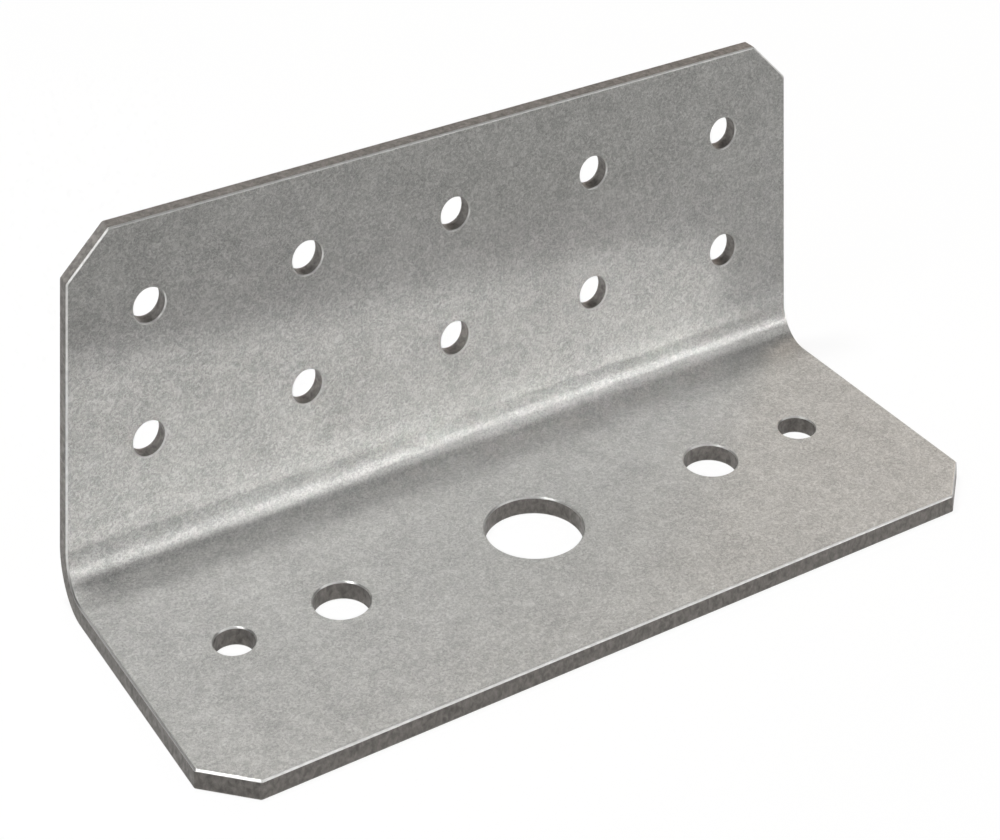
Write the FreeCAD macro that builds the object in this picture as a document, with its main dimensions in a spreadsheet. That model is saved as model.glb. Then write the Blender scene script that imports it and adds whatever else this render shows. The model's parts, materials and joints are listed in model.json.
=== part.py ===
import FreeCAD, Part
import math
import os
import Sketcher

# An angle clip that holds light steel framing to concrete. It is one blank of
# galvanised sheet, cropped and punched, with one fold to a right angle.
# Millimetres. The origin is the centre of the anchor hole on the underside of the
# base. +X runs along the fold, +Y points at the standing leg and +Z is up.

SIZES = (
    ("length", 127.0, "length of the clip along the fold"),
    ("wall_height", 51.4, "underside of the base to the top edge of the standing leg"),
    ("base_depth", 51.2, "outer face of the standing leg to the front edge of the base"),
    ("thickness", 2.46, "thickness of the galvanised sheet"),
    ("bend_radius", 5.08, "inside radius of the fold"),
    ("corner_crop", 6.35, "leg of the 45 degree crop on each free corner"),
    ("corner_radius", 0.5, "radius on the points of the cropped corners"),
    ("outline_roll", 0.2, "radius of the outline where the punch goes in, inside the fold"),
    ("rim_roll", 0.15, "bevel of the hole rims where the punch goes in, inside the fold"),
    ("outside_edge", 0.12, "bevel of every edge where the punch comes out, outside the fold"),
    ("base_hole_line", 25.0, "outer face of the standing leg to the line of base holes"),
    ("anchor_hole", 14.5, "diameter of the anchor hole in the middle of the base"),
    ("bolt_hole", 8.15, "diameter of the two holes beside the anchor hole"),
    ("bolt_offset", 31.75, "middle of the clip to each of those two holes"),
    ("pin_hole", 5.8, "diameter of the two holes near the ends of the base"),
    ("pin_offset", 48.3, "middle of the clip to each of those two holes"),
    ("screw_hole", 4.95, "diameter of the screw holes in the standing leg"),
    ("screw_pitch", 25.4, "spacing of the screw holes along a row"),
    ("screw_columns", 5, "screw holes in a row"),
    ("screw_rows", 2, "rows of screw holes"),
    ("screw_row_gap", 19.05, "spacing of the rows"),
    ("screw_drop", 12.7, "top edge of the standing leg to the upper row"),
)

# The anchor hole, and two more holes on each side of it.
BASE_HOLES = 5

# Two lengths that differ by less than this are the same length.
NEAR = 1e-4

# Which point of a line, arc or circle a constraint holds, and the sketch's own axes.
START, END, CENTRE = 1, 2, 3
HORIZONTAL_AXIS, VERTICAL_AXIS = -1, -2

doc = FreeCAD.newDocument("angle_clip")


def make_sheet():
    """The driving dimensions, one row each: what it is, and its value under an alias."""
    sheet = doc.addObject("Spreadsheet::Sheet", "sizes")
    for row, (alias, value, meaning) in enumerate(SIZES, start=1):
        sheet.set(f"A{row}", meaning)
        sheet.set(f"B{row}", str(value))
        sheet.setAlias(f"B{row}", alias)
    doc.recompute()
    return sheet


def origin_feature(body, role):
    """One of the body's own origin planes or axes, such as YZ_Plane or X_Axis."""
    return next(item for item in body.Origin.OriginFeatures if item.Role == role)


def new_sketch(body, name, role):
    """An empty sketch on one of the body's origin planes."""
    sketch = body.newObject("Sketcher::SketchObject", name)
    sketch.AttachmentSupport = (origin_feature(body, role), [""])
    sketch.MapMode = "FlatFace"
    return sketch


def hold(sketch, *constraint):
    """Add a plain constraint to a sketch."""
    return sketch.addConstraint(Sketcher.Constraint(*constraint))


def drive(sketch, name, formula, *constraint):
    """Add a dimension to a sketch under a name, and tie it to a formula on the sheet."""
    sketch.renameConstraint(hold(sketch, *constraint), name)
    sketch.setExpression(f"Constraints.{name}", formula)


def draw_section(body, sheet):
    """The folded sheet seen from its end: two flat legs joined by two concentric arcs."""
    sketch = new_sketch(body, "section", "YZ_Plane")
    top = sheet.wall_height
    back = sheet.base_hole_line
    front = back - sheet.base_depth
    inner = sheet.bend_radius
    outer = inner + sheet.thickness
    fold_y = back - outer
    fold_z = outer

    def line(y1, z1, y2, z2):
        return sketch.addGeometry(Part.LineSegment(FreeCAD.Vector(y1, z1), FreeCAD.Vector(y2, z2)))

    def quarter(radius):
        circle = Part.Circle(FreeCAD.Vector(fold_y, fold_z), FreeCAD.Vector(0, 0, 1), radius)
        return sketch.addGeometry(Part.ArcOfCircle(circle, -math.pi / 2, 0))

    underside = line(front, 0, fold_y, 0)
    outer_fold = quarter(outer)
    back_face = line(back, fold_z, back, top)
    top_edge = line(back, top, back - sheet.thickness, top)
    wall_face = line(back - sheet.thickness, top, back - sheet.thickness, fold_z)
    inner_fold = quarter(inner)
    base_face = line(fold_y, sheet.thickness, front, sheet.thickness)
    front_edge = line(front, sheet.thickness, front, 0)

    hold(sketch, "Tangent", underside, END, outer_fold, START)
    hold(sketch, "Tangent", outer_fold, END, back_face, START)
    hold(sketch, "Coincident", back_face, END, top_edge, START)
    hold(sketch, "Coincident", top_edge, END, wall_face, START)
    hold(sketch, "Tangent", wall_face, END, inner_fold, END)
    hold(sketch, "Tangent", inner_fold, START, base_face, START)
    hold(sketch, "Coincident", base_face, END, front_edge, START)
    hold(sketch, "Coincident", front_edge, END, underside, START)
    hold(sketch, "Coincident", outer_fold, CENTRE, inner_fold, CENTRE)
    hold(sketch, "Horizontal", underside)
    hold(sketch, "Vertical", back_face)
    hold(sketch, "Horizontal", top_edge)
    hold(sketch, "Vertical", front_edge)
    hold(sketch, "PointOnObject", underside, START, HORIZONTAL_AXIS)
    drive(sketch, "thickness", "sizes.thickness", "Distance", front_edge, sheet.thickness)
    drive(sketch, "bend_radius", "sizes.bend_radius", "Radius", inner_fold, inner)
    drive(sketch, "wall_height", "sizes.wall_height", "DistanceY", back_face, END, top)
    drive(sketch, "back_face", "sizes.base_hole_line", "DistanceX", back_face, END, back)
    front_to_back = ("DistanceX", underside, START, back_face, END, sheet.base_depth)
    drive(sketch, "base_depth", "sizes.base_depth", *front_to_back)
    return sketch


def draw_hole(sketch, name, diameter, along=None, up=None):
    """A circle whose diameter and place are formulas on the sheet.

    Without a place along or up, its centre stays on that axis of the sketch.
    """
    circle = sketch.addGeometry(Part.Circle(FreeCAD.Vector(1, 1), FreeCAD.Vector(0, 0, 1), 1))
    drive(sketch, f"{name}_diameter", diameter, "Diameter", circle, 2)
    if along is None:
        hold(sketch, "PointOnObject", circle, CENTRE, VERTICAL_AXIS)
    else:
        drive(sketch, f"{name}_along", along, "DistanceX", circle, CENTRE, 1)
    if up is None:
        hold(sketch, "PointOnObject", circle, CENTRE, HORIZONTAL_AXIS)
    else:
        drive(sketch, f"{name}_up", up, "DistanceY", circle, CENTRE, 1)


def punch(body, name, sketch, along_normal):
    """The holes of a sketch, punched right through the sheet on one side of its plane."""
    pocket = body.newObject("PartDesign::Pocket", name)
    pocket.Profile = sketch
    pocket.Type = "ThroughAll"
    pocket.Reversed = along_normal
    doc.recompute()
    return pocket


def edge_names(shape, wanted):
    """The names of the edges that a test picks."""
    return [f"Edge{i}" for i, edge in enumerate(shape.Edges, start=1) if wanted(edge)]


def crop(body, name, edges, alias):
    """A flat cut across some edges of the body, as wide as one cell of the sheet says."""
    chamfer = body.newObject("PartDesign::Chamfer", name)
    chamfer.Base = (chamfer.BaseFeature, edges)
    chamfer.setExpression("Size", f"sizes.{alias}")
    doc.recompute()


def ease(body, name, edges, alias):
    """A round along some edges of the body, with the radius that one cell of the sheet says."""
    fillet = body.newObject("PartDesign::Fillet", name)
    fillet.Base = (fillet.BaseFeature, edges)
    fillet.setExpression("Radius", f"sizes.{alias}")
    doc.recompute()


def fold_sheet(body, sheet):
    """The folded sheet, with its four free corners cropped and the points of the crops eased."""
    folded = body.newObject("PartDesign::Pad", "folded_sheet")
    folded.Profile = draw_section(body, sheet)
    folded.SideType = "Symmetric"
    folded.setExpression("Length", "sizes.length")
    doc.recompute()

    def runs_through_sheet(edge):
        """A straight edge from one face of the sheet to the other."""
        if not isinstance(edge.Curve, Part.Line):
            return False
        square_to_fold = abs(edge.Curve.Direction.x) < NEAR
        return square_to_fold and abs(edge.Length - sheet.thickness) < NEAR

    crop(body, "cropped_corners", edge_names(body.Shape, runs_through_sheet), "corner_crop")
    ease(body, "corner_points", edge_names(body.Shape, runs_through_sheet), "corner_radius")


def punch_base(body):
    """Five holes on one line of the base: the anchor hole, and two more on each side of it."""
    middle = new_sketch(body, "anchor_hole_sketch", "XY_Plane")
    draw_hole(middle, "anchor", "sizes.anchor_hole")
    punch(body, "anchor_hole", middle, along_normal=True)

    right = new_sketch(body, "right_holes_sketch", "XY_Plane")
    draw_hole(right, "bolt", "sizes.bolt_hole", along="sizes.bolt_offset")
    draw_hole(right, "pin", "sizes.pin_hole", along="sizes.pin_offset")
    right_holes = punch(body, "right_holes", right, along_normal=True)

    left_holes = body.newObject("PartDesign::Mirrored", "left_holes")
    left_holes.Originals = [right_holes]
    left_holes.MirrorPlane = (origin_feature(body, "YZ_Plane"), [""])
    body.Tip = left_holes
    doc.recompute()


def punch_wall(body):
    """The grid of screw holes in the standing leg, repeated from the upper left one."""
    corner = new_sketch(body, "screw_hole_sketch", "XZ_Plane")
    first_column = "-sizes.screw_pitch * (sizes.screw_columns - 1) / 2"
    upper_row = "sizes.wall_height - sizes.screw_drop"
    draw_hole(corner, "screw", "sizes.screw_hole", along=first_column, up=upper_row)
    first_hole = punch(body, "first_screw_hole", corner, along_normal=False)

    grid = body.newObject("PartDesign::LinearPattern", "screw_holes")
    grid.Originals = [first_hole]
    grid.Direction = (origin_feature(body, "X_Axis"), [""])
    grid.setExpression("Length", "sizes.screw_pitch * (sizes.screw_columns - 1)")
    grid.setExpression("Occurrences", "sizes.screw_columns")
    grid.Direction2 = (origin_feature(body, "Z_Axis"), [""])
    grid.Reversed2 = True
    grid.setExpression("Length2", "sizes.screw_row_gap * (sizes.screw_rows - 1)")
    grid.setExpression("Occurrences2", "sizes.screw_rows")
    body.Tip = grid
    doc.recompute()


def skin_edges(shape, base_z, wall_y, fold_radius):
    """The names of the edges round one skin of the sheet: those of its outline, then its hole rims.

    A skin is the base's plane at base_z, the wall's plane at wall_y and the fold between them.
    """

    def on_skin(face):
        if isinstance(face.Surface, Part.Cylinder):
            along_fold = abs(face.Surface.Axis.x) > 1 - NEAR
            return along_fold and abs(face.Surface.Radius - fold_radius) < NEAR
        box = face.BoundBox
        on_base = box.ZLength < NEAR and abs(box.ZMin - base_z) < NEAR
        on_wall = box.YLength < NEAR and abs(box.YMin - wall_y) < NEAR
        return on_base or on_wall

    skin = [edge for face in shape.Faces if on_skin(face) for edge in face.Edges]

    def on_border(edge):
        return sum(1 for other in skin if edge.isSame(other)) == 1

    outline = edge_names(shape, lambda edge: on_border(edge) and not edge.isClosed())
    rims = edge_names(shape, lambda edge: on_border(edge) and edge.isClosed())
    return outline, rims


def dull_edges(body, sheet):
    """The rolled outline and rims that a punch leaves where it goes in, and where it comes out."""
    back = sheet.base_hole_line
    inside = (sheet.thickness, back - sheet.thickness, sheet.bend_radius)
    outside = (0, back, sheet.bend_radius + sheet.thickness)

    outline, _ = skin_edges(body.Shape, *inside)
    ease(body, "rolled_outline", outline, "outline_roll")
    _, rims = skin_edges(body.Shape, *inside)
    crop(body, "rolled_rims", rims, "rim_roll")
    outline, rims = skin_edges(body.Shape, *outside)
    crop(body, "dulled_edges", outline + rims, "outside_edge")


def make_clip(sheet):
    """The clip as one body: folded, punched and dulled."""
    body = doc.addObject("PartDesign::Body", "angle_clip")
    body.Label = "angle_clip"
    fold_sheet(body, sheet)
    punch_base(body)
    punch_wall(body)
    dull_edges(body, sheet)
    return body


def is_hole(face):
    """The round wall of a hole: a cylinder that goes all the way round."""
    if not isinstance(face.Surface, Part.Cylinder):
        return False
    first, last = face.ParameterRange[:2]
    return last - first > 2 * math.pi - NEAR


def check(body, sheet):
    """Stop if an object failed, if a step after the fold cut nothing, or if a hole is missing."""
    for item in doc.Objects:
        if "Invalid" in item.State or "Error" in item.State:
            raise RuntimeError(f"{item.Label} failed")
    if body.Shape.isNull() or not body.Shape.isValid():
        raise RuntimeError(f"{body.Label} has no valid shape")
    steps = [item for item in body.Group if item.isDerivedFrom("PartDesign::Feature")]
    for before, after in zip(steps, steps[1:]):
        if after.Shape.Volume >= before.Shape.Volume:
            raise RuntimeError(f"{after.Label} cuts nothing")
    holes = sum(1 for face in body.Shape.Faces if is_hole(face))
    wanted = BASE_HOLES + sheet.screw_columns * sheet.screw_rows
    if holes != wanted:
        raise RuntimeError(f"{body.Label} has {holes} holes, not {wanted}")


sheet = make_sheet()
clip = make_clip(sheet)
check(clip, sheet)
os.makedirs("parts", exist_ok=True)
clip.Shape.exportStep(f"parts/{clip.Label}.step")
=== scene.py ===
import json

import bpy
import numpy as np
from mathutils import Matrix, Vector


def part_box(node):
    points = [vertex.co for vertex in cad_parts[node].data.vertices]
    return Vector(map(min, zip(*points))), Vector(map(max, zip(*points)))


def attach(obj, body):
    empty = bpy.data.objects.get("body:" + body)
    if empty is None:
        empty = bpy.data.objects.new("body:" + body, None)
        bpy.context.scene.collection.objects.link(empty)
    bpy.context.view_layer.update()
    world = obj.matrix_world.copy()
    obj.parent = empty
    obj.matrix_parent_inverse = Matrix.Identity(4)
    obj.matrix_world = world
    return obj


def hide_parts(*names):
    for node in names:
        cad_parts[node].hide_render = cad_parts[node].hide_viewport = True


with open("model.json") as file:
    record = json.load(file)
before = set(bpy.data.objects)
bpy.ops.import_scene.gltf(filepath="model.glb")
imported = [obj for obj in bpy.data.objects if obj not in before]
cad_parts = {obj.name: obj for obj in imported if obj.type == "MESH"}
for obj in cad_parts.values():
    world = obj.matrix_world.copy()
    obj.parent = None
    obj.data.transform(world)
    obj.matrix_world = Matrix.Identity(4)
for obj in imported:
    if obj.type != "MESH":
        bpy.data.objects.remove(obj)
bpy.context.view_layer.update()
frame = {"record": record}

# The clip: one blank of galvanised sheet steel, cropped at its four free corners, punched with fifteen holes
# and folded once to a right angle. Shearing and punching bevel the rims on the inside, leave straight cuts
# through the thickness, and break the edges on the outside only a little.
MM = 0.001
THICKNESS = 2.46 * MM
INSIDE_RADIUS = 5.08 * MM
CORNER_CROP = 6.35 * MM
CORNER_RADIUS = 0.5 * MM
OUTLINE_ROLL = 0.25 * MM
HOLE_ROLL = 0.2 * MM
OUTSIDE_EDGE = 0.12 * MM
SHOULDER = 0.3  # radius of a bevel's rounded shoulders, as a share of the bevel
GRID_STEP = 1.27 * MM
FOLD_STEPS = 32
ROLL_STEPS = 3
CUT_STEPS = 4
CORNER_STEPS = 6
RINGS = np.array([0.0, 0.06, 0.2, 0.5, 1.0])  # places of the mesh rings from a hole's rim to its cell's edge
WELD = 0.0001 * MM

low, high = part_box("angle_clip")
outside_radius = INSIDE_RADIUS + THICKNESS
middle_radius = INSIDE_RADIUS + THICKNESS / 2
fold_start = high.y - outside_radius - low.y
fold_end = fold_start + middle_radius * np.pi / 2
sheet_end = fold_end + high.z - outside_radius


def turn_at(s):
    """Angle that the sheet has turned through, s along its section from the front edge: none on the base,
    arc length over radius in the fold, a right angle on the wall."""
    return np.clip((s - fold_start) / middle_radius, 0, np.pi / 2)


def folded(flat):
    """Points of the folded sheet from (x, s, w) on the flat blank, where w is the height above the outside
    skin: straight along the base, round the fold's centre at a radius of outside_radius - w, then straight
    up the wall."""
    x, s, w = flat.T
    turn = turn_at(s)
    radius = outside_radius - w
    y = low.y + np.minimum(s, fold_start) + radius * np.sin(turn)
    z = outside_radius - radius * np.cos(turn) + np.maximum(s - fold_end, 0)
    return np.stack([x, y, z], axis=1)


def facing(flat, lean):
    """Directions on the folded sheet from directions (x, s, w) on the blank, turned with the fold."""
    turn = turn_at(flat[:, 1])
    along, across = lean[:, 1], lean[:, 2]
    y = along * np.cos(turn) - across * np.sin(turn)
    z = along * np.sin(turn) + across * np.cos(turn)
    return np.stack([lean[:, 0], y, z], axis=1)


def holes_on_blank(mounts):
    """Each hole as (x, s, radius): a base hole from its bore, the wall's holes from their screw patterns."""
    holes = []
    for mount in mounts:
        x, y, z = mount["pos_m"]
        sizes = mount["dims"]
        if mount["kind"] == "bore":
            holes.append((x, y - low.y, sizes["r_mm"] * MM))
        if mount["kind"] == "bolt_pattern":
            across = sizes.get("spacing_x_mm", 0) * MM / 2
            up = sizes["spacing_y_mm"] * MM / 2
            for column in sorted({x - across, x + across}):
                for row in (z - up, z + up):
                    holes.append((column, fold_end + row - outside_radius, sizes["hole_r_mm"] * MM))
    return np.array(holes)


def steps(start, stop, size):
    """Evenly spaced places from start to stop, about size apart."""
    return np.linspace(start, stop, int(np.round((stop - start) / size)) + 1)


def lines(*groups):
    """All the places in the groups, in order, each once."""
    return np.unique(np.round(np.concatenate(groups) / WELD)) * WELD


def between(places, start, stop):
    """The places from start to stop, both kept."""
    return places[(places > start - WELD) & (places < stop + WELD)]


def border(xs, ss):
    """The rim of a rectangle, counter-clockwise from its first corner, with the given places on it."""
    sides = [
        (xs[:-1], np.full(len(xs) - 1, ss[0])),
        (np.full(len(ss) - 1, xs[-1]), ss[:-1]),
        (xs[:0:-1], np.full(len(xs) - 1, ss[-1])),
        (np.full(len(ss) - 1, xs[0]), ss[:0:-1]),
    ]
    return np.concatenate([np.stack(side, axis=1) for side in sides])


def from_core(points):
    """Nearest point on the core polygon, unit way out from it and distance, negative inside. The core is the
    cropped rectangle set in by CORNER_RADIUS, so the outline is all that lies CORNER_RADIUS outside it."""
    inset = CORNER_CROP - CORNER_RADIUS * (2 - np.sqrt(2))
    x1, s0, s1 = high.x - CORNER_RADIUS, CORNER_RADIUS, sheet_end - CORNER_RADIUS
    corners = np.array([
        (-x1 + inset, s0), (x1 - inset, s0), (x1, s0 + inset), (x1, s1 - inset),
        (x1 - inset, s1), (-x1 + inset, s1), (-x1, s1 - inset), (-x1, s0 + inset),
    ])
    side = np.roll(corners, -1, axis=0) - corners
    way = points[:, None] - corners
    share = np.clip((way * side).sum(2) / (side**2).sum(1), 0, 1)
    feet = corners + share[:, :, None] * side
    gap = np.linalg.norm(points[:, None] - feet, axis=2)
    nearest = gap.argmin(axis=1)
    each = np.arange(len(points))
    foot = feet[each, nearest]
    distance = gap[each, nearest]
    inside = (side[:, 0] * way[:, :, 1] - side[:, 1] * way[:, :, 0]).min(axis=1) > 0
    out = (points - foot) / np.maximum(distance, WELD)[:, None]
    return foot, out, np.where(inside, -distance, distance)


def trimmed(points, set_back):
    """Points kept within the outline set in by set_back: those beyond it are drawn in towards the core."""
    foot, out, distance = from_core(points)
    reach = CORNER_RADIUS - set_back
    return np.where((distance > reach)[:, None], foot + out * reach, points)


def rim_section(roll):
    """Section of a rim as rows (offset outwards, height w, lean outwards, lean upwards): from the inside
    skin a bevel of size roll with rounded shoulders, the straight cut, then a quarter round to the outside
    skin."""
    turn = np.linspace(0, np.pi / 4, ROLL_STEPS + 1)
    shoulder = roll * SHOULDER
    upper_offset = shoulder * np.sin(turn) - roll
    upper_height = THICKNESS - shoulder * (1 - np.cos(turn))
    lower_offset = shoulder * (np.cos(turn) - 1)
    lower_height = THICKNESS - roll + shoulder * np.sin(turn)
    offset = np.concatenate([upper_offset, lower_offset[::-1]])
    height = np.concatenate([upper_height, lower_height[::-1]])
    angle = np.concatenate([turn, np.pi / 4 + turn])
    bevel = np.stack([offset, height, np.sin(angle), np.cos(angle)], axis=1)
    depth = np.linspace(THICKNESS - roll, OUTSIDE_EDGE, CUT_STEPS + 1)[1:-1]
    straight = np.stack([0 * depth, depth, 0 * depth + 1, 0 * depth], axis=1)
    turn = np.linspace(0, np.pi / 2, ROLL_STEPS + 1)
    sin, cos = np.sin(turn), np.cos(turn)
    quarter = np.stack([OUTSIDE_EDGE * (cos - 1), OUTSIDE_EDGE * (1 - sin), cos, -sin], axis=1)
    return np.concatenate([bevel, straight, quarter])


def quads(rows, columns, closed, flipped):
    """Corners of the faces of a grid of rows by columns, its last row joined to its first if closed."""
    index = np.arange(rows * columns).reshape(rows, columns)
    here = index if closed else index[:-1]
    there = np.roll(index, -1, axis=0) if closed else index[1:]
    faces = np.stack([here[:, :-1], here[:, 1:], there[:, 1:], there[:, :-1]], axis=-1).reshape(-1, 4)
    return faces[:, ::-1] if flipped else faces


patches = []


def add_patch(places, height, lean, cut, closed, flipped):
    """Keeps one grid of the sheet: places on the blank, height w, the way it faces and its share of cut."""
    rows, columns = places.shape[:2]
    flat = np.concatenate([places, np.broadcast_to(height, (rows, columns))[..., None]], axis=2)
    patches.append((
        flat.reshape(-1, 3),
        np.broadcast_to(lean, flat.shape).reshape(-1, 3),
        np.broadcast_to(cut, (rows, columns)).reshape(-1),
        quads(rows, columns, closed, flipped),
    ))


def add_rim(loop, way_out, roll, flipped):
    """A rim carried along a loop: its section stands on the loop's points, turned to face way_out."""
    offset, height, out, up = rim_section(roll).T
    places = loop[:, None] + way_out[:, None] * offset[:, None]
    upward = np.broadcast_to(up, (len(loop), len(up)))[..., None]
    lean = np.concatenate([way_out[:, None] * out[:, None], upward], axis=2)
    add_patch(places, height, lean, out, True, flipped)


# Lines of the mesh on the blank: even steps, closer in the fold, and a fan where a crop meets a straight
# side, so that the rounded corner there has points of its own.
holes = holes_on_blank(frame["record"]["mounts"])
on_base = holes[:, 1] < fold_start
wall_middle = lines(holes[~on_base, 1]).mean()
fan = np.linspace(-np.tan(np.pi / 8), 1 - np.tan(np.pi / 8), CORNER_STEPS) * CORNER_RADIUS
crop_x = high.x - CORNER_CROP + fan
crop_s = sheet_end - CORNER_CROP + fan
x_lines = lines(steps(-high.x, high.x, GRID_STEP), crop_x, -crop_x)
base_lines = steps(0, fold_start, GRID_STEP)
fold_lines = np.linspace(fold_start, fold_end, FOLD_STEPS + 1)
low_wall_lines = steps(fold_end, wall_middle, GRID_STEP)
high_wall_lines = steps(wall_middle, sheet_end, GRID_STEP)
s_lines = lines(base_lines, fold_lines, low_wall_lines, high_wall_lines, crop_s, CORNER_CROP - fan)


def hole_cells():
    """Each hole's centre and radius, the rim of the rectangle of blank round it and the unit ways there. The
    rectangles in a row meet midway between neighbours, and the wall's two rows at the wall's middle."""
    base_rows = [(0, fold_start)]
    wall_rows = [(fold_end, wall_middle), (wall_middle, sheet_end)]
    for group, spans in ((on_base, base_rows), (~on_base, wall_rows)):
        centres = lines(holes[group, 0])
        middles = np.round((centres[1:] + centres[:-1]) / 2 / GRID_STEP) * GRID_STEP
        cuts = np.concatenate([[-high.x], middles, [high.x]])
        for x, s, radius in holes[group]:
            column = np.searchsorted(cuts, x) - 1
            start, stop = next(span for span in spans if span[0] < s < span[1])
            xs = between(x_lines, cuts[column], cuts[column + 1])
            centre = np.array([x, s])
            edge = border(xs, between(s_lines, start, stop))
            ray = (edge - centre) / np.linalg.norm(edge - centre, axis=1)[:, None]
            yield centre, radius, edge, ray


inside_skin = (THICKNESS, 1, OUTLINE_ROLL, HOLE_ROLL)
outside_skin = (0, -1, OUTSIDE_EDGE, OUTSIDE_EDGE)
for skin_height, up, set_back, hole_roll in (inside_skin, outside_skin):
    skin_lean = np.array([0, 0, up])
    fold_grid = np.stack(np.meshgrid(x_lines, between(s_lines, fold_start, fold_end)), axis=-1)
    fold_places = trimmed(fold_grid.reshape(-1, 2), set_back).reshape(fold_grid.shape)
    add_patch(fold_places, skin_height, skin_lean, 0, False, up < 0)
    for centre, radius, edge, ray in hole_cells():
        rim = centre + ray * (radius + hole_roll)
        spread = trimmed(edge, set_back) - rim
        cell_places = rim[:, None] + spread[:, None] * RINGS[:, None]
        add_patch(cell_places, skin_height, skin_lean, 0, True, up < 0)

foot, way_out, _ = from_core(border(x_lines, s_lines))
add_rim(foot + way_out * CORNER_RADIUS, way_out, OUTLINE_ROLL, False)
for centre, radius, edge, ray in hole_cells():
    add_rim(centre + ray * radius, -ray, HOLE_ROLL, True)

counts = np.cumsum([0] + [len(patch[0]) for patch in patches])
flat = np.concatenate([patch[0] for patch in patches])
lean = np.concatenate([patch[1] for patch in patches])
cut = np.concatenate([patch[2] for patch in patches])
faces = np.concatenate([patch[3] + first for patch, first in zip(patches, counts)])
welded = np.round(flat / WELD).astype(np.int64)
_, kept, joined = np.unique(welded, axis=0, return_index=True, return_inverse=True)
faces = joined.reshape(-1)[faces]
flat, lean, cut = flat[kept], lean[kept], cut[kept]


def placed(name, data):
    """A new object of the scene that shows the given data."""
    piece = bpy.data.objects.new(name, data)
    bpy.context.scene.collection.objects.link(piece)
    return piece


mesh = bpy.data.meshes.new("clip_sheet")
mesh.from_pydata(folded(flat), [], faces)
mesh.polygons.foreach_set("use_smooth", np.ones(len(faces), bool))
blank = mesh.attributes.new("flat", "FLOAT_VECTOR", "POINT")
blank.data.foreach_set("vector", flat.astype(np.float32).ravel())
mesh.normals_split_custom_set_from_vertices(facing(flat, lean))
clip = placed("clip_sheet", mesh)

# The zinc on both skins: the strip was dipped hot, so the coat froze in small flecks of crystal, gathered in
# duller and paler patches. Rollers left it satin, a pale grey with a trace of warmth, and the press rubbed
# it smoother and shinier in the fold.
ZINC_DULL = (0.300, 0.297, 0.285, 1)
ZINC_PALE = (0.660, 0.656, 0.632, 1)
ZINC_SPECULAR = 0.25
ZINC_METALLIC = 0.2
FOLD_METALLIC = 0.5
SATIN_ROUGHNESS = (0.46, 0.34)  # on dull crystals and on pale ones
SMOOTH_ROUGHNESS = (0.34, 0.27)
CRYSTAL_HEIGHT = 0.025 * MM
CRYSTAL_STRENGTH = 1.0
FLATTENED = 0.75  # share of the crystals' relief that the press took off
GRAIN_LAYERS = 4
GRAIN_ROUGHNESS = 0.62
FLECKS = (3600, 1.2, 0.42, 0.60)  # patches to a metre, twist, low and high mark
CLUSTERS = (1150, 1.6, 0.44, 0.61)
CLOUDS = (220, 0.4, 0.34, 0.66)
CLUSTER_SHARE = 0.5
CLOUD_SHARE = 0.2
BASE_FADE = 0.1  # share of the crystals' contrast that the base has lost
EVEN = 0.5  # a mask without contrast
RUB_STARTS = (0.2, 0.5)  # shares of the way round the fold
RUB_ENDS = (0.62, 0.88)


def grain_group():
    """Node group for a mask over the sheet: layered noise at Place, with Per Metre patches to a metre, drawn
    out to run from 0 at the Low mark to 1 at the High mark."""
    group = bpy.data.node_groups.new("grain", "ShaderNodeTree")
    group.interface.new_socket("Place", in_out="INPUT", socket_type="NodeSocketVector")
    for name in ("Per Metre", "Twist", "Low", "High"):
        group.interface.new_socket(name, in_out="INPUT", socket_type="NodeSocketFloat")
    group.interface.new_socket("Mask", in_out="OUTPUT", socket_type="NodeSocketFloat")
    given = group.nodes.new("NodeGroupInput")
    result = group.nodes.new("NodeGroupOutput")
    noise = group.nodes.new("ShaderNodeTexNoise")
    noise.inputs["Detail"].default_value = GRAIN_LAYERS
    noise.inputs["Roughness"].default_value = GRAIN_ROUGHNESS
    reach = group.nodes.new("ShaderNodeMapRange")
    group.links.new(given.outputs["Place"], noise.inputs["Vector"])
    group.links.new(given.outputs["Per Metre"], noise.inputs["Scale"])
    group.links.new(given.outputs["Twist"], noise.inputs["Distortion"])
    group.links.new(noise.outputs["Fac"], reach.inputs["Value"])
    group.links.new(given.outputs["Low"], reach.inputs["From Min"])
    group.links.new(given.outputs["High"], reach.inputs["From Max"])
    group.links.new(reach.outputs["Result"], result.inputs["Mask"])
    return group


grain = grain_group()


def add_grain(tree, place, per_metre, twist, low_mark, high_mark):
    """The mask of a grain group in a material, with its own values."""
    node = tree.nodes.new("ShaderNodeGroup")
    node.node_tree = grain
    node.inputs["Per Metre"].default_value = per_metre
    node.inputs["Twist"].default_value = twist
    node.inputs["Low"].default_value = low_mark
    node.inputs["High"].default_value = high_mark
    tree.links.new(place, node.inputs["Place"])
    return node.outputs["Mask"]


def blend(tree, kind, factor, first, second):
    """A mix of two values or colours, each a socket or a constant, by a factor of either sort."""
    node = tree.nodes.new("ShaderNodeMix")
    node.data_type = kind
    sockets = [socket for socket in node.inputs if socket.enabled]
    for socket, value in zip((sockets[0], sockets[-2], sockets[-1]), (factor, first, second)):
        if isinstance(value, bpy.types.NodeSocket):
            tree.links.new(value, socket)
        else:
            socket.default_value = value
    return next(socket for socket in node.outputs if socket.enabled)


def ramp(tree, value, start, stop, first, last, shape="LINEAR"):
    """A value that runs from first, where the given value is at start, to last, where it is at stop."""
    node = tree.nodes.new("ShaderNodeMapRange")
    node.interpolation_type = shape
    node.inputs["From Min"].default_value = start
    node.inputs["From Max"].default_value = stop
    node.inputs["To Min"].default_value = first
    node.inputs["To Max"].default_value = last
    tree.links.new(value, node.inputs["Value"])
    return node.outputs["Result"]


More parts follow.
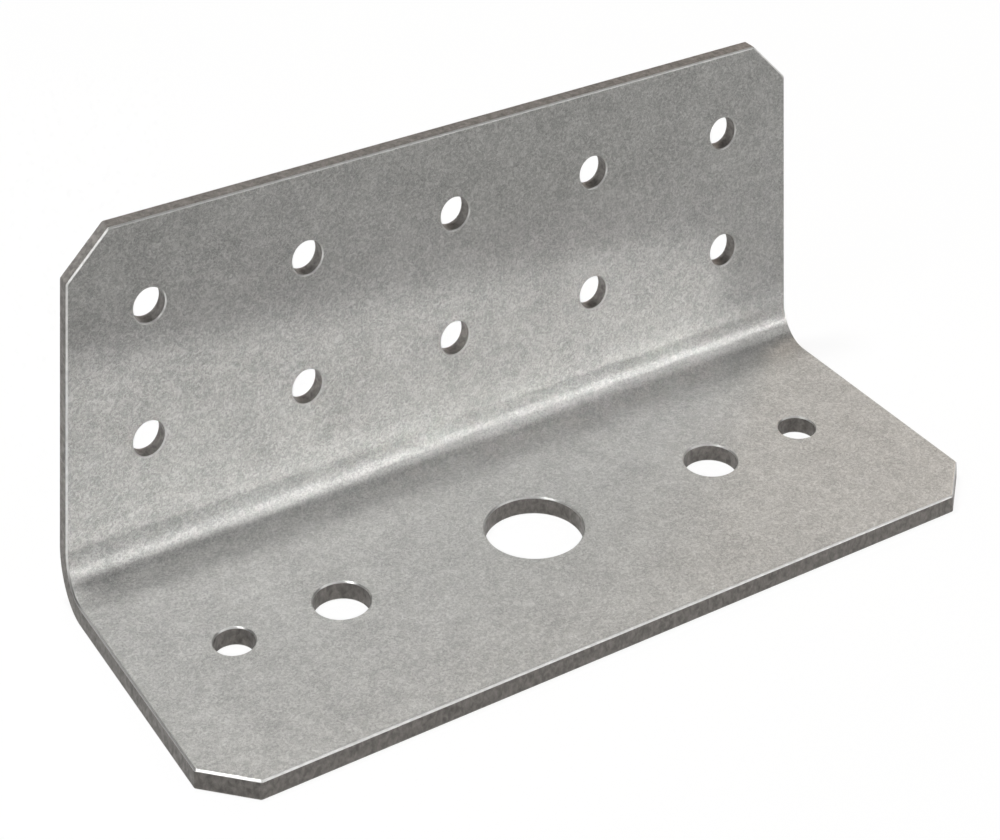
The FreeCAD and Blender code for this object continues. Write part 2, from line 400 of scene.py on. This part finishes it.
def combined(tree, operation, first, second):
    """One value worked out from two: their product, or the larger of them."""
    node = tree.nodes.new("ShaderNodeMath")
    node.operation = operation
    tree.links.new(first, node.inputs[0])
    tree.links.new(second, node.inputs[1])
    return node.outputs[0]


def add_relief(tree, shader, height, strength, distance):
    """Bump on a shader's surface, where height 1 stands for the given distance above height 0."""
    node = tree.nodes.new("ShaderNodeBump")
    node.inputs["Strength"].default_value = strength
    node.inputs["Distance"].default_value = distance
    tree.links.new(height, node.inputs["Height"])
    tree.links.new(node.outputs["Normal"], shader.inputs["Normal"])


def start_finish(name):
    """A new material, its node tree, its shader, and the place on the blank of each point of the sheet."""
    material = bpy.data.materials.new(name)
    material.use_nodes = True
    tree = material.node_tree
    on_blank = tree.nodes.new("ShaderNodeAttribute")
    on_blank.attribute_name = "flat"
    return material, tree, tree.nodes["Principled BSDF"], on_blank.outputs["Vector"]


zinc, tree, shader, place = start_finish("galvanised_zinc")
shader.inputs["Specular IOR Level"].default_value = ZINC_SPECULAR
flecks = add_grain(tree, place, *FLECKS)
clusters = add_grain(tree, place, *CLUSTERS)
clouds = add_grain(tree, place, *CLOUDS)
crystal = blend(tree, "FLOAT", CLUSTER_SHARE, flecks, clusters)
split = tree.nodes.new("ShaderNodeSeparateXYZ")
tree.links.new(place, split.inputs[0])
along = split.outputs["Y"]
rub_starts = [fold_start + share * (fold_end - fold_start) for share in RUB_STARTS]
rub_ends = [fold_start + share * (fold_end - fold_start) for share in RUB_ENDS]
past_base = ramp(tree, along, *rub_starts, 0, 1, "SMOOTHSTEP")
before_wall = ramp(tree, along, *rub_ends, 1, 0, "SMOOTHSTEP")
rub = combined(tree, "MULTIPLY", past_base, before_wall)
faded = blend(tree, "FLOAT", BASE_FADE, crystal, EVEN)
shown = blend(tree, "FLOAT", past_base, faded, crystal)
tone = blend(tree, "FLOAT", CLOUD_SHARE, shown, clouds)
tree.links.new(blend(tree, "RGBA", tone, ZINC_DULL, ZINC_PALE), shader.inputs["Base Color"])
tree.links.new(blend(tree, "FLOAT", rub, ZINC_METALLIC, FOLD_METALLIC), shader.inputs["Metallic"])
satin = blend(tree, "FLOAT", crystal, *SATIN_ROUGHNESS)
smooth = blend(tree, "FLOAT", crystal, *SMOOTH_ROUGHNESS)
tree.links.new(blend(tree, "FLOAT", rub, satin, smooth), shader.inputs["Roughness"])
flattened = blend(tree, "FLOAT", FLATTENED, crystal, EVEN)
height = blend(tree, "FLOAT", rub, crystal, flattened)
add_relief(tree, shader, height, CRYSTAL_STRENGTH, CRYSTAL_HEIGHT)
mesh.materials.append(zinc)

# The cut faces: bare steel where the shear and the punches went through, dark and a little brown from the
# zinc that was drawn over it, with streaks that run through the thickness.
CUT_DARK = (0.132, 0.122, 0.111, 1)
CUT_PALE = (0.280, 0.261, 0.240, 1)
CUT_METALLIC = 0.35
CUT_ROUGHNESS = (0.55, 0.42)
STREAKS = (1300, 0.4, 0.32, 0.68)
STREAK_STRETCH = (1, 1, 0.8)
STREAK_HEIGHT = 0.02 * MM
STREAK_STRENGTH = 0.5

bare, tree, shader, place = start_finish("sheared_steel")
shader.inputs["Metallic"].default_value = CUT_METALLIC
drawn = tree.nodes.new("ShaderNodeVectorMath")
drawn.operation = "MULTIPLY"
drawn.inputs[1].default_value = STREAK_STRETCH
tree.links.new(place, drawn.inputs[0])
streaks = add_grain(tree, drawn.outputs["Vector"], *STREAKS)
tree.links.new(blend(tree, "RGBA", streaks, CUT_DARK, CUT_PALE), shader.inputs["Base Color"])
tree.links.new(blend(tree, "FLOAT", streaks, *CUT_ROUGHNESS), shader.inputs["Roughness"])
add_relief(tree, shader, streaks, STREAK_STRENGTH, STREAK_HEIGHT)
mesh.materials.append(bare)

# The bevelled rims: zinc that the shear and the punches drew over the edge and rubbed smooth, so it shines
# in a thin line, duller where the tool skidded. The small breaks on the outside have the same finish.
RIM_DULL = (0.54, 0.535, 0.52, 1)
RIM_BRIGHT = (0.66, 0.655, 0.64, 1)
RIM_METALLIC = 0.9
RIM_ROUGHNESS = (0.36, 0.30)
SKIDS = (900, 0, 0.30, 0.62)
NEARLY = 0.001  # slack for telling a bevel from the straight cut and from the skin
SKIN_SLOT = 0  # the finishes in the order in which the mesh has them
CUT_SLOT = 1
RIM_SLOT = 2

rim_zinc, tree, shader, place = start_finish("rubbed_rim")
shader.inputs["Metallic"].default_value = RIM_METALLIC
skids = add_grain(tree, place, *SKIDS)
tree.links.new(blend(tree, "RGBA", skids, RIM_DULL, RIM_BRIGHT), shader.inputs["Base Color"])
tree.links.new(blend(tree, "FLOAT", skids, *RIM_ROUGHNESS), shader.inputs["Roughness"])
mesh.materials.append(rim_zinc)

share_of_cut = cut[faces]
on_cut = share_of_cut.min(axis=1) > 1 - NEARLY
on_rim = (share_of_cut.max(axis=1) > NEARLY) & ~on_cut
finish_of_face = np.where(on_cut, CUT_SLOT, np.where(on_rim, RIM_SLOT, SKIN_SLOT))
mesh.polygons.foreach_set("material_index", finish_of_face.astype(np.int32))

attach(clip, "root")
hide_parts("angle_clip")

# The floor: a wide sheet of white paper that the clip lies on. It shows white to the camera and in the
# metal, and near the clip it takes a little of the lamps' light, which leaves a trace of shadow. To light
# that it throws on the clip by diffusion it is dull, so that the clip's shaded sides stay dark.
FLOOR_SIZE = 12.0
SHADOW_SHARE = 0.08
SHADOW_TO = 0.12  # metres from the clip's middle
WHITE_FROM = 0.40
WHITE = (1, 1, 1, 1)
DULL_PAPER = (0.12, 0.12, 0.12, 1)


def looked_at(tree):
    """1 where the camera looks at this, straight, in metal or through glass, and 0 for diffused light."""
    path = tree.nodes.new("ShaderNodeLightPath")
    in_picture = combined(tree, "MAXIMUM", path.outputs["Is Camera Ray"], path.outputs["Is Glossy Ray"])
    return combined(tree, "MAXIMUM", in_picture, path.outputs["Is Transmission Ray"])


def mixed_shaders(tree, factor, first, second):
    """A mix of two shaders by a factor from 0 for the first to 1 for the second."""
    node = tree.nodes.new("ShaderNodeMixShader")
    tree.links.new(factor, node.inputs[0])
    tree.links.new(first.outputs[0], node.inputs[1])
    tree.links.new(second.outputs[0], node.inputs[2])
    return node


half = FLOOR_SIZE / 2
floor_corners = [(-half, -half, 0), (half, -half, 0), (half, half, 0), (-half, half, 0)]
floor_mesh = bpy.data.meshes.new("floor")
floor_mesh.from_pydata(floor_corners, [], [(0, 1, 2, 3)])
floor = placed("floor", floor_mesh)
paper = bpy.data.materials.new("floor_paper")
paper.use_nodes = True
tree = paper.node_tree
matt = tree.nodes["Principled BSDF"]
matt.inputs["Base Color"].default_value = WHITE
matt.inputs["Roughness"].default_value = 1.0
matt.inputs["Specular IOR Level"].default_value = 0.0
glow = tree.nodes.new("ShaderNodeEmission")
spot = tree.nodes.new("ShaderNodeTexCoord")
away = tree.nodes.new("ShaderNodeVectorMath")
away.operation = "LENGTH"
tree.links.new(spot.outputs["Object"], away.inputs[0])
white_share = ramp(tree, away.outputs["Value"], SHADOW_TO, WHITE_FROM, 1 - SHADOW_SHARE, 1)
bright = mixed_shaders(tree, white_share, matt, glow)
dull = tree.nodes.new("ShaderNodeBsdfDiffuse")
dull.inputs["Color"].default_value = DULL_PAPER
sheet = mixed_shaders(tree, looked_at(tree), dull, bright)
tree.links.new(sheet.outputs[0], tree.nodes["Material Output"].inputs[0])
floor_mesh.materials.append(paper)

# The room: white walls up to a little above the horizon and a dim ceiling, which the fold mirrors as its
# dark band. The light that the room throws on the clip by diffusion is dimmed.
WALLS_TO = np.sin(np.radians(8))
CEILING_FROM = np.sin(np.radians(14))
CEILING = 0.04
ROOM_LIGHT = 0.3

world = bpy.data.worlds.new("studio")
bpy.context.scene.world = world
world.use_nodes = True
tree = world.node_tree
way = tree.nodes.new("ShaderNodeTexCoord")
level = tree.nodes.new("ShaderNodeSeparateXYZ")
tree.links.new(way.outputs["Generated"], level.inputs[0])
walls = ramp(tree, level.outputs["Z"], WALLS_TO, CEILING_FROM, 1, CEILING)
dimmed = blend(tree, "FLOAT", looked_at(tree), ROOM_LIGHT, 1)
backdrop = tree.nodes["Background"]
backdrop.inputs["Color"].default_value = WHITE
tree.links.new(combined(tree, "MULTIPLY", walls, dimmed), backdrop.inputs["Strength"])

# The lamps: softboxes, which the rims and the fold mirror as lines of light, and strips behind fine grids,
# which light only what stands straight in front of them, as bands on the wall and the fold. All are white
# but the side softbox, which is warm.
OPEN = 180
WARM = (1, 0.82, 0.68)


def lamp(name, way, aim, reach, size, spread, brightness, colour=(1, 1, 1)):
    """A rectangular lamp, reach metres from aim (in mm), in the direction (azimuth, elevation) in degrees:
    azimuth 0 is in front and 90 on the right. An open one is as bright as white paper times brightness, and
    a grid holds the light of a strip within spread degrees."""
    azimuth, elevation = np.radians(way)
    sideways = np.cos(elevation)
    out = Vector((np.sin(azimuth) * sideways, -np.cos(azimuth) * sideways, np.sin(elevation)))
    light = bpy.data.lights.new(name, "AREA")
    light.shape = "RECTANGLE"
    light.size, light.size_y = size
    light.spread = np.radians(spread)
    light.energy = brightness * np.pi * size[0] * size[1]
    light.color = colour
    piece = placed(name, light)
    piece.location = Vector(aim) * MM + out * reach
    piece.rotation_euler = (-out).to_track_quat("-Z", "Y").to_euler()


lamp("overhead_softbox", (225, 78.5), (0, 0, 5), 0.6, (0.08, 0.08), OPEN, 112)
lamp("side_softbox", (120, 30), (0, 0, 5), 0.6, (0.2, 0.2), OPEN, 4.8, WARM)
lamp("back_softbox", (190, 12), (0, 25, 25), 0.8, (0.5, 0.25), OPEN, 4.5)
lamp("left_softbox", (290, 50), (-30, 0, 10), 0.35, (0.10, 0.10), OPEN, 6.5)
lamp("crop_softbox", (-48, 32), (-60, 22, 48), 0.5, (0.07, 0.07), OPEN, 5.5)
lamp("rim_softbox", (15, 51), (0, 5, 10), 0.5, (0.7, 0.12), OPEN, 0.95)
lamp("fold_high_panel", (33, 36), (0, 18, 5), 0.6, (0.40, 0.20), OPEN, 0.95)
lamp("fold_ridge_panel", (30, 20), (0, 18, 5), 0.6, (0.40, 0.10), OPEN, 1.4)
lamp("fold_low_panel", (38, 12), (0, 18, 5), 0.6, (0.18, 0.24), OPEN, 3.2)
lamp("fold_left_strip", (24, 21), (-52, 20, 4), 0.5, (0.08, 0.06), 5, 0.05)
lamp("fold_left_high_strip", (24, 32), (-52, 20, 4), 0.5, (0.08, 0.06), 5, 0.055)
lamp("fold_left_top_strip", (24, 46), (-52, 20, 4), 0.5, (0.08, 0.06), 5, 0.02)
lamp("fold_right_strip", (33, 15), (44, 18, 5), 0.5, (0.09, 0.06), 5, 0.065)
lamp("wall_strip", (-30, 12), (-28, 22, 17.6), 0.3, (0.135, 0.025), 2, 0.53)
lamp("wall_high_strip", (-30, 12), (12, 22, 26), 0.5, (0.05, 0.012), 2, 0.15)
lamp("wall_low_strip", (0, 12), (-44, 22, 12.4), 0.15, (0.048, 0.0105), 1, 0.1)
lamp("wall_foot_strip", (0, 12), (-36, 22, 8.1), 0.15, (0.07, 0.0042), 1, 0.24)
lamp("wall_right_strip", (0, 12), (22, 22, 10.5), 0.15, (0.075, 0.0095), 1, 0.12)
lamp("wall_right_foot_strip", (0, 12), (36, 22, 7.6), 0.15, (0.06, 0.0044), 1, 0.26)

# The camera: it stands to the left in front of the clip, level, with a view camera's lowered lens, so that
# upright lines stay upright in the picture. The tie to its stand gives it that slant, and the lens itself
# isn't shifted.
PICTURE_WIDTH = 1000
PICTURE_HEIGHT = 840
FOCAL_PIXELS = 2615.59
LENS_AXIS = (503.10, -1077.64)
HEADING = np.radians(31.674)
DIP = np.radians(-0.116)
CAMERA_PLACE = np.array([-204.39, -322.65, 235.71]) * MM
SENSOR_WIDTH = 36.0
NEAREST_SEEN = 0.01

ahead = np.array([np.sin(HEADING) * np.cos(DIP), np.cos(HEADING) * np.cos(DIP), -np.sin(DIP)])
right = np.array([np.cos(HEADING), -np.sin(HEADING), 0])
upward = np.cross(right, ahead)
to_right = (PICTURE_WIDTH / 2 - LENS_AXIS[0]) / FOCAL_PIXELS
to_bottom = (PICTURE_HEIGHT / 2 - LENS_AXIS[1]) / FOCAL_PIXELS
middle_ray = ahead + to_right * right - to_bottom * upward
ray_length = np.linalg.norm(middle_ray)
slant = np.eye(4)
slant[:3, :3] = np.stack([right, upward, -middle_ray / ray_length], axis=1)
slant[:3, 3] = CAMERA_PLACE

stand = placed("camera_stand", None)
lens = bpy.data.cameras.new("camera")
lens.sensor_width = SENSOR_WIDTH
lens.lens = FOCAL_PIXELS * ray_length / PICTURE_WIDTH * SENSOR_WIDTH
lens.clip_start = NEAREST_SEEN
camera = placed("camera", lens)
camera.parent = stand
camera.matrix_parent_inverse = Matrix(slant)
bpy.context.scene.camera = camera
bpy.context.scene.view_settings.view_transform = "Standard"
